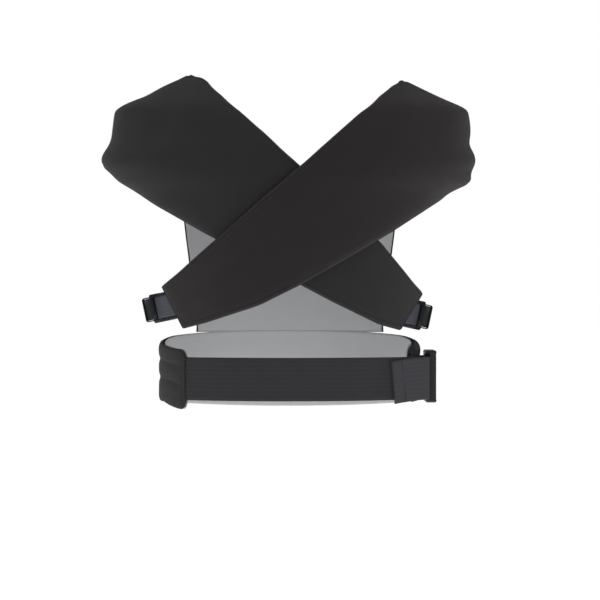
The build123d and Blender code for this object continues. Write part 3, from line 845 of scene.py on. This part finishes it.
def flat_section(half, t):
    """Offsets across a strip and heights over its middle, round a section with full edges."""
    face, edge = np.linspace(-half + t, half - t, FACE_POINTS), half - 0.3 * t
    across = np.concatenate([face, [edge, half, edge], face[::-1], [-edge, -half, -edge]])
    up = np.repeat([1.0, 0, -1.0, 0], [FACE_POINTS, 3, FACE_POINTS, 3]) * t
    up[FACE_POINTS:FACE_POINTS + 3] = [0.72 * t, 0, -0.72 * t]
    up[-3:] = [-0.72 * t, 0, 0.72 * t]
    return across, up


print("a webbing's ring has", len(flat_section(10, 1)[0]), "points")


# %% A webbing
def webbing(name, path, place, width, thickness, material, radius=1.4, count=200,
            slant=None, closed=False, hem=0.0):
    """A strip along path, (along, outward) pairs that place turns into points in space.
    place(points, offset) also takes how far across the strip a point is."""
    path = resample(rounded(path, radius) if radius else np.asarray(path, float), count)
    if closed:
        path = path[:-1]
        tangent = np.roll(path, -1, 0) - np.roll(path, 1, 0)
    else:
        tangent = np.gradient(path, axis=0)
    tangent /= np.linalg.norm(tangent, axis=1)[:, None]
    normal = np.stack([-tangent[:, 1], tangent[:, 0]], 1)
    s = arc_lengths(path)
    step_up = 1 / (1 + np.exp(np.clip((s[-1] - hem - s) / 0.35, -50, 50))) if hem else np.zeros(len(s))
    rings = [place(path + normal * (height + max(height, 0) * step_up)[:, None], offset)
             for offset, height in zip(*flat_section(width / 2, thickness / 2))]
    rings = np.stack(rings, 1)
    if slant:
        rings = slant(rings, s)
    return tube(name, rings, material, closed=closed)


print("webbings are ready")

# %% [markdown]
# ## The belt
#
# The belt is one wide webbing. It is sewn to the waistband's left end, lies across the
# back, goes round the middle bar of the buckle's plug and comes back over itself as a
# loose tail. Seen from above, the whole of it is one path. The tail drops a little and
# is cut aslant, so its rings are moved after they are made.

# %% The belt's path
BELT_WIDTH, BELT_THICKNESS = 49.0, 1.8
BELT_BEND, TAIL_LENGTH, HEM = 1.4, 52.0, 14.0


def waist_run(gap, first, last, count):
    """Points in plan round the waist, between two angles in degrees."""
    return round_waist(gap, np.radians(np.linspace(first, last, count)))


def upright(points, offset):
    """A plan path becomes points in space, with the strip's width upright."""
    return np.stack([points[:, 0], points[:, 1], np.full(len(points), offset)], 1)


low, high = (np.array(corner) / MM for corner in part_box("waist_buckle_plug"))
seat_x = (low[0] + high[0]) / 2


def beside_buckle(pairs):
    """Points in plan from (along the waist buckle, outward from its middle) pairs."""
    return [(seat_x + out, along) for along, out in pairs]


belt_first = -math.degrees(math.acos(-136 / (WAIST_X + 3)))
belt_path = np.array([*waist_run(3.0, belt_first, -49, 60), *beside_buckle([
    (-36, -4.95), (-16.7, -4.95), (-16.7, 4.15), (-24.3, 4.15), (-24.3, -2.75),
    (-37.2, -2.75), (-64.6, -47.0)])])
belt_length = arc_lengths(rounded(belt_path, BELT_BEND))[-1]
print("the belt is", round(belt_length), "mm long")


# %% The belt and its loose tail
def droop(rings, s):
    """The belt's loose tail drops a little towards its end, which is cut aslant."""
    back_x, back_y = 0.85, 0.527
    share = np.clip((s - (s[-1] - TAIL_LENGTH)) / TAIL_LENGTH, 0, 1)[:, None]
    short = 5 * share * (0.5 - rings[..., 2] / BELT_WIDTH)
    rings[..., 0] += back_x * short
    rings[..., 1] += back_y * short
    rings[..., 2] -= share ** 1.5 * 4.5
    return rings


BELT_STATIONS = 520
belt = webbing("waist_belt", belt_path, upright, BELT_WIDTH, BELT_THICKNESS, belt_web,
               radius=BELT_BEND, count=BELT_STATIONS, slant=droop, hem=HEM)
# The tail's faces take the lighter copy of the webbing, painted light.
belt.data.materials.append(lit_tail_web)
lit_tail_share = 1 - 55.0 / belt_length
for face in belt.data.polygons:
    if face.index / len(belt.data.polygons) > lit_tail_share:
        face.material_index = 1
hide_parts("belt_webbing")
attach(belt, "harness")
print("belt:", len(belt.data.polygons), "faces")

# %% [markdown]
# The tail's end is folded over once and sewn down. The seam runs across the webbing at a
# slight slant, so each of its points is taken from the ring that lies there.

# %% The hem's seam
ring_size = len(flat_section(1, 1)[0])
rings = np.array([vertex.co for vertex in belt.data.vertices]).reshape(-1, ring_size, 3) / MM
hem_run = []
for k in range(FACE_POINTS):
    from_end = HEM + 2.5 - 3.5 * k / (FACE_POINTS - 1)
    hem_run.append(rings[round((1 - from_end / belt_length) * (BELT_STATIONS - 1)), k])
hem_seam = stitches("waist_belt_hem_stitches", [hem_run], "harness", pitch=2.2,
                    length=2.6, radius=0.55)
hem_seam.data.materials[0] = elastic
print("hem seam:", len(hem_seam.data.polygons), "faces")

# %% [markdown]
# ## The waist buckle's anchor
#
# The socket is tied to the band by a webbing that loops round its bar. Its two ends lie
# on each other, sewn to the band's outside. The loop has to reach the band from the
# buckle when the socket is slid off.

# %% The anchor loop
FLEX_GAP, EYE_DROP = 0.4, 2.6
eye_out = 12.5 / 2 - EYE_DROP + FLEX_GAP + BELT_THICKNESS / 2
bar_end = 44.1 - 5.0 - FLEX_GAP - BELT_THICKNESS / 2
anchor_path = np.array([
    *waist_run(15.8, 69, 51, 8),
    *beside_buckle([(47.1, eye_out), (bar_end, eye_out), (bar_end, -eye_out), (46.1, -eye_out)]),
    *waist_run(13.6, 47.5, 65.5, 8)])
anchor = webbing("waist_anchor_loop", anchor_path, upright, BELT_WIDTH, BELT_THICKNESS, belt_web,
                 radius=3, count=220)
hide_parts("waist_anchor_webbing")
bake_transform(anchor)
print("anchor loop:", len(anchor.data.polygons), "faces")

# %% [markdown]
# ## The small buckles' webbing
#
# At each flank a narrow webbing comes out of the strap, goes round the bar of a small
# plug and ends in a roll that an elastic keeper holds. The other side's webbing loops
# through the socket and is sewn to the panel. All of it lies in one leaning plane at the
# flank, so each path is drawn there as (forward, outward) pairs, and `flank_place` puts
# it in space. The buckle itself is turned a little towards the front in that plane.

# %% The plane at a flank
TURN, SIDE_LEAN = math.radians(20), math.radians(12)
PLUG_LENGTH = 23.4
MOUTH = (9 + PLUG_LENGTH * math.cos(TURN), 7.4 - PLUG_LENGTH * math.sin(TURN))


def to_flank(points):
    """Points along a small buckle and over its middle become points in the flank's plane."""
    along, out = np.asarray(points, float).T
    return np.stack([MOUTH[0] + along * math.cos(TURN) + out * math.sin(TURN),
                     MOUTH[1] - along * math.sin(TURN) + out * math.cos(TURN)], 1)


def flank_width(height):
    """How far the body's side is from its middle, at a small buckle's height."""
    return 142.5 + (height - 50) * 8 / 47


def round_flank(ys, height, gap):
    """Points in the flank's plane that follow the body's side, a gap off it."""
    half = flank_width(height)
    return [(y, (half + gap) * math.sqrt(1 - (y / (102 + gap)) ** 2) - half) for y in ys]


def flank_place(side, height):
    """Turns (forward, outward) at a flank into points in space, across the strip's width."""
    out = np.array([side * math.cos(SIDE_LEAN), 0, -math.sin(SIDE_LEAN)])
    across = np.array([side * math.sin(SIDE_LEAN), 0, math.cos(SIDE_LEAN)])
    origin = np.array([side * flank_width(height), 0, height])

    def place(points, offset):
        return origin + points[:, :1] * np.array([0, 1, 0]) + points[:, 1:] * out + offset * across
    return place


print("a small buckle's mouth is", round(MOUTH[0], 1), "mm in front of the flank's middle")

# %% [markdown]
# The tail's roll is a spiral: three turns whose outer ones lie close on each other. Its
# faces, which show the webbing's edge, take a darker copy of the webbing's colour: painted
# shade for the roll's shadow.

# %% The webbing that ends in a roll
SMALL_WIDTH, SMALL_THICKNESS = 25.0, 1.6
SMALL_BODY, SMALL_BAR, SMALL_SLOT, SMALL_NECK = 9.6, 4.0, 4.2, 7.0
SMALL_HALF = SMALL_THICKNESS / 2
KEEPER_Y, ROLL_OUT, ROLL_REACH = -6.5, 11.1, 7.4


def rolled_webbing(name, place, height):
    """The webbing from the strap, round the plug's bar and into its roll."""
    bar = -SMALL_NECK - SMALL_SLOT - SMALL_BAR / 2
    clear = SMALL_BAR / 2 + FLEX_GAP + SMALL_HALF
    load, over = -SMALL_BODY / 2 + FLEX_GAP + SMALL_HALF, SMALL_BODY / 2 - 1.2 - SMALL_HALF
    turns = np.radians(np.linspace(-90, -90 - 360 * 2.75, 90))
    radii = np.interp(turns, np.radians([-1080, -450, -380, -90]), [1.3, 4.1, 5.75, 5.8])
    roll = np.stack([KEEPER_Y + radii * np.cos(turns), ROLL_OUT + radii * np.sin(turns)], 1)
    round_bar = to_flank([(bar + clear, load), (bar + clear, over), (bar - clear, over),
                          (bar - clear, load + 2.0)])
    path = [*round_flank((-62, -52, -42, -33), height, 1.3), (-13.5, 3.4), (8, 3.4),
            *round_bar, (6.5, 5.4), (-4, 5.4)]
    # The strip takes the small webbing's colour with its painted sheen.
    strip = webbing(f"{name}_strap_webbing_tail", np.concatenate([rounded(path, 1.2), roll]), place,
                    SMALL_WIDTH, SMALL_THICKNESS, sheen_small_web, radius=0, count=320)
    # The roll's faces take the darker copy of the webbing, painted shade.
    strip.data.materials.append(roll_shade)
    centre = place(np.array([[KEEPER_Y, ROLL_OUT]]), 0)[0] * MM
    for face in strip.data.polygons:
        if math.dist(face.center[:2], centre[:2]) < ROLL_REACH * MM:
            face.material_index = 1
    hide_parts(f"{name}_strap_webbing")
    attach(strip, "harness")
    return strip


print("a roll is about", 2 * 5.8 + SMALL_THICKNESS, "mm across")

# %% [markdown]
# A keeper is a closed band of elastic round the webbing and its roll. It is the same
# kind of strip as a webbing, but its path runs across the other one, so its own place
# function swaps the two directions.

# %% The elastic keeper
KEEPER_WIDTH, KEEPER_THICKNESS, RUNNING = 12.0, 1.25, 0.35


def keeper_band(name, place):
    """The elastic loop that slides along the webbing and holds its roll."""
    low_out, high_out = 3.4 - SMALL_HALF - RUNNING, 4.5 + 13.2 + 0.1
    middle = (low_out + high_out) / 2
    half_across, half_out = SMALL_WIDTH / 2 + RUNNING + 0.65, (high_out - low_out) / 2 + 0.65
    loop = rounded([(0, -half_out), (half_across, -half_out), (half_across, half_out),
                    (-half_across, half_out), (-half_across, -half_out), (0, -half_out)], 2.6)

    def place_across(points, offset):
        flat = np.stack([np.full(len(points), KEEPER_Y + offset), middle + points[:, 1]], 1)
        return np.concatenate([place(flat[i:i + 1], points[i, 0]) for i in range(len(points))])
    keeper = webbing(f"{name}_keeper_elastic", loop, place_across, KEEPER_WIDTH, KEEPER_THICKNESS,
                     elastic, radius=0, count=120, closed=True)
    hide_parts(f"{name}_tail_keeper")
    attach(keeper, f"{name}_keeper_body")
    return keeper


print("keepers are", KEEPER_WIDTH, "mm wide")

# %% [markdown]
# The socket's webbing is doubled and sewn to the panel's side.

# %% The small anchor loops
SMALL_EYE_DROP = 2.6


def anchor_loop(name, place, height):
    """The doubled webbing from the panel's side round the bar of the small socket."""
    eye_out = SMALL_BODY / 2 - SMALL_EYE_DROP + FLEX_GAP + SMALL_HALF
    eye_at = 20.5 + 2 + SMALL_SLOT - FLEX_GAP - SMALL_HALF
    base = BODY_GAP + LINING + 4.5 + 1.2 + SMALL_HALF
    path = [*round_flank((92, 86, 80), height, base + 2.0),
            *to_flank([(32.7, eye_out), (eye_at, eye_out), (eye_at, -eye_out), (31.7, -eye_out)]),
            *round_flank((80, 86, 92), height, base)]
    # The loop takes the small webbing's colour with its painted sheen.
    tie = webbing(f"{name}_anchor_loop", path, place, SMALL_WIDTH, SMALL_THICKNESS, sheen_small_web,
                  count=200)
    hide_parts(f"{name}_anchor_webbing")
    near = place(np.array([[62.0, 0.0]]), 0)[0] * MM
    far = place(np.array([[84.0, -20.0]]), 0)[0] * MM
    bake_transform(tie)
    return tie


print("anchor loops reach", 84.0 - 62.0, "mm from their seam to where they move whole")

# %% Both flanks
for name, side, height in (("left", -1, 81.0), ("right", 1, 73.0)):
    place = flank_place(side, height)
    made = [rolled_webbing(name, place, height), keeper_band(name, place),
            anchor_loop(name, place, height)]
    print(name, "flank:", sum(len(piece.data.polygons) for piece in made), "faces")

# %% [markdown]
# ## Hard pieces
#
# The buckles and the snap fasteners are hard and exact, so the CAD's own pieces are kept.
# They only take a finer finish: moulded plastic for the buckles, and dull metal for the
# snaps.

# %% Finishes for the hard pieces
hard = [name for name in nodes if "buckle" in name or "snap" in name]
for name in hard:
    finish_slot, material = ("snap", metal) if "snap" in name else ("buckle_plastic", plastic)
    nodes[name].data.materials.clear()
    nodes[name].data.materials.append(material)
print(len(hard), "hard pieces")

# %% [markdown]
# ## Studio
#
# Black cloth on a white ground needs soft light from several sides, or its folds go
# flat. Three large area lights give it, with a dim even sky to fill the shadows. What
# the camera sees behind the harness is a plain bright white, because the sky is brighter
# for camera rays than for light.

# %% The floor and the sky
FLOOR, FLOOR_HALF = -0.32, 12
floor_mesh = bpy.data.meshes.new("studio_floor")
floor_corners = [(x * FLOOR_HALF, y * FLOOR_HALF, FLOOR)
                 for x, y in ((-1, -1), (1, -1), (1, 1), (-1, 1))]
floor_mesh.from_pydata(floor_corners, [], [(0, 1, 2, 3)])
paper = bpy.data.materials.new("studio_paper")
paper.use_nodes = True
g = Graph(paper.node_tree)
g.add("ShaderNodeOutputMaterial", {0: g.add("ShaderNodeBsdfPrincipled", {
    "Base Color": (0.9, 0.9, 0.9, 1), "Roughness": 0.9,
    "Emission Color": (1, 1, 1, 1), "Emission Strength": 0.75})})
floor_mesh.materials.append(paper)
floor = bpy.data.objects.new("studio_floor", floor_mesh)
bpy.context.scene.collection.objects.link(floor)

world = bpy.data.worlds.new("studio")
world.use_nodes = True
g = Graph(world.node_tree)
seen = g.add("ShaderNodeLightPath")
sky = g.add("ShaderNodeBackground", {0: (1, 1, 1, 1), 1: seen * 0.68 + 0.32})
g.add("ShaderNodeOutputWorld", {0: sky})
bpy.context.scene.world = world
print("the floor lies", -FLOOR, "m below the waist")

# %% Soft lights
def area_light(name, place, aim, size, power):
    """A square lamp in a place, turned to face a point."""
    light = bpy.data.lights.new(name, "AREA")
    light.shape, light.size, light.energy = "SQUARE", size, power
    lamp = bpy.data.objects.new(name, light)
    lamp.location = place
    direction = np.array(aim, float) - np.array(place, float)
    lamp.rotation_euler = (math.acos(-direction[2] / np.linalg.norm(direction)), 0,
                           math.atan2(direction[1], direction[0]) - math.pi / 2)
    bpy.context.scene.collection.objects.link(lamp)


RIBS = (0, 0, 0.1)
area_light("key", (-1.6, -2.4, 1.9), RIBS, 1.6, 13)
area_light("fill", (2.2, -1.8, 0.9), RIBS, 1.8, 6)
area_light("top", (0.2, -0.2, 2.3), RIBS, 1.5, 8)
print("three lights")

# %% [markdown]
# The camera stands well back with a long lens, level with the wearer's ribs, so near and
# far parts of the harness keep almost the same scale.

# %% The camera
camera = bpy.data.objects.new("camera", bpy.data.cameras.new("camera"))
camera.data.lens, camera.data.sensor_width = 165.5, 36
camera.location = (0.014, -3.2, 0.0895)
camera.rotation_euler = (math.pi / 2, 0, 0)
bpy.context.scene.collection.objects.link(camera)
bpy.context.scene.camera = camera
bpy.context.scene.view_settings.view_transform = "Standard"
print("lens", camera.data.lens, "mm, standing", -camera.location.y, "m back")
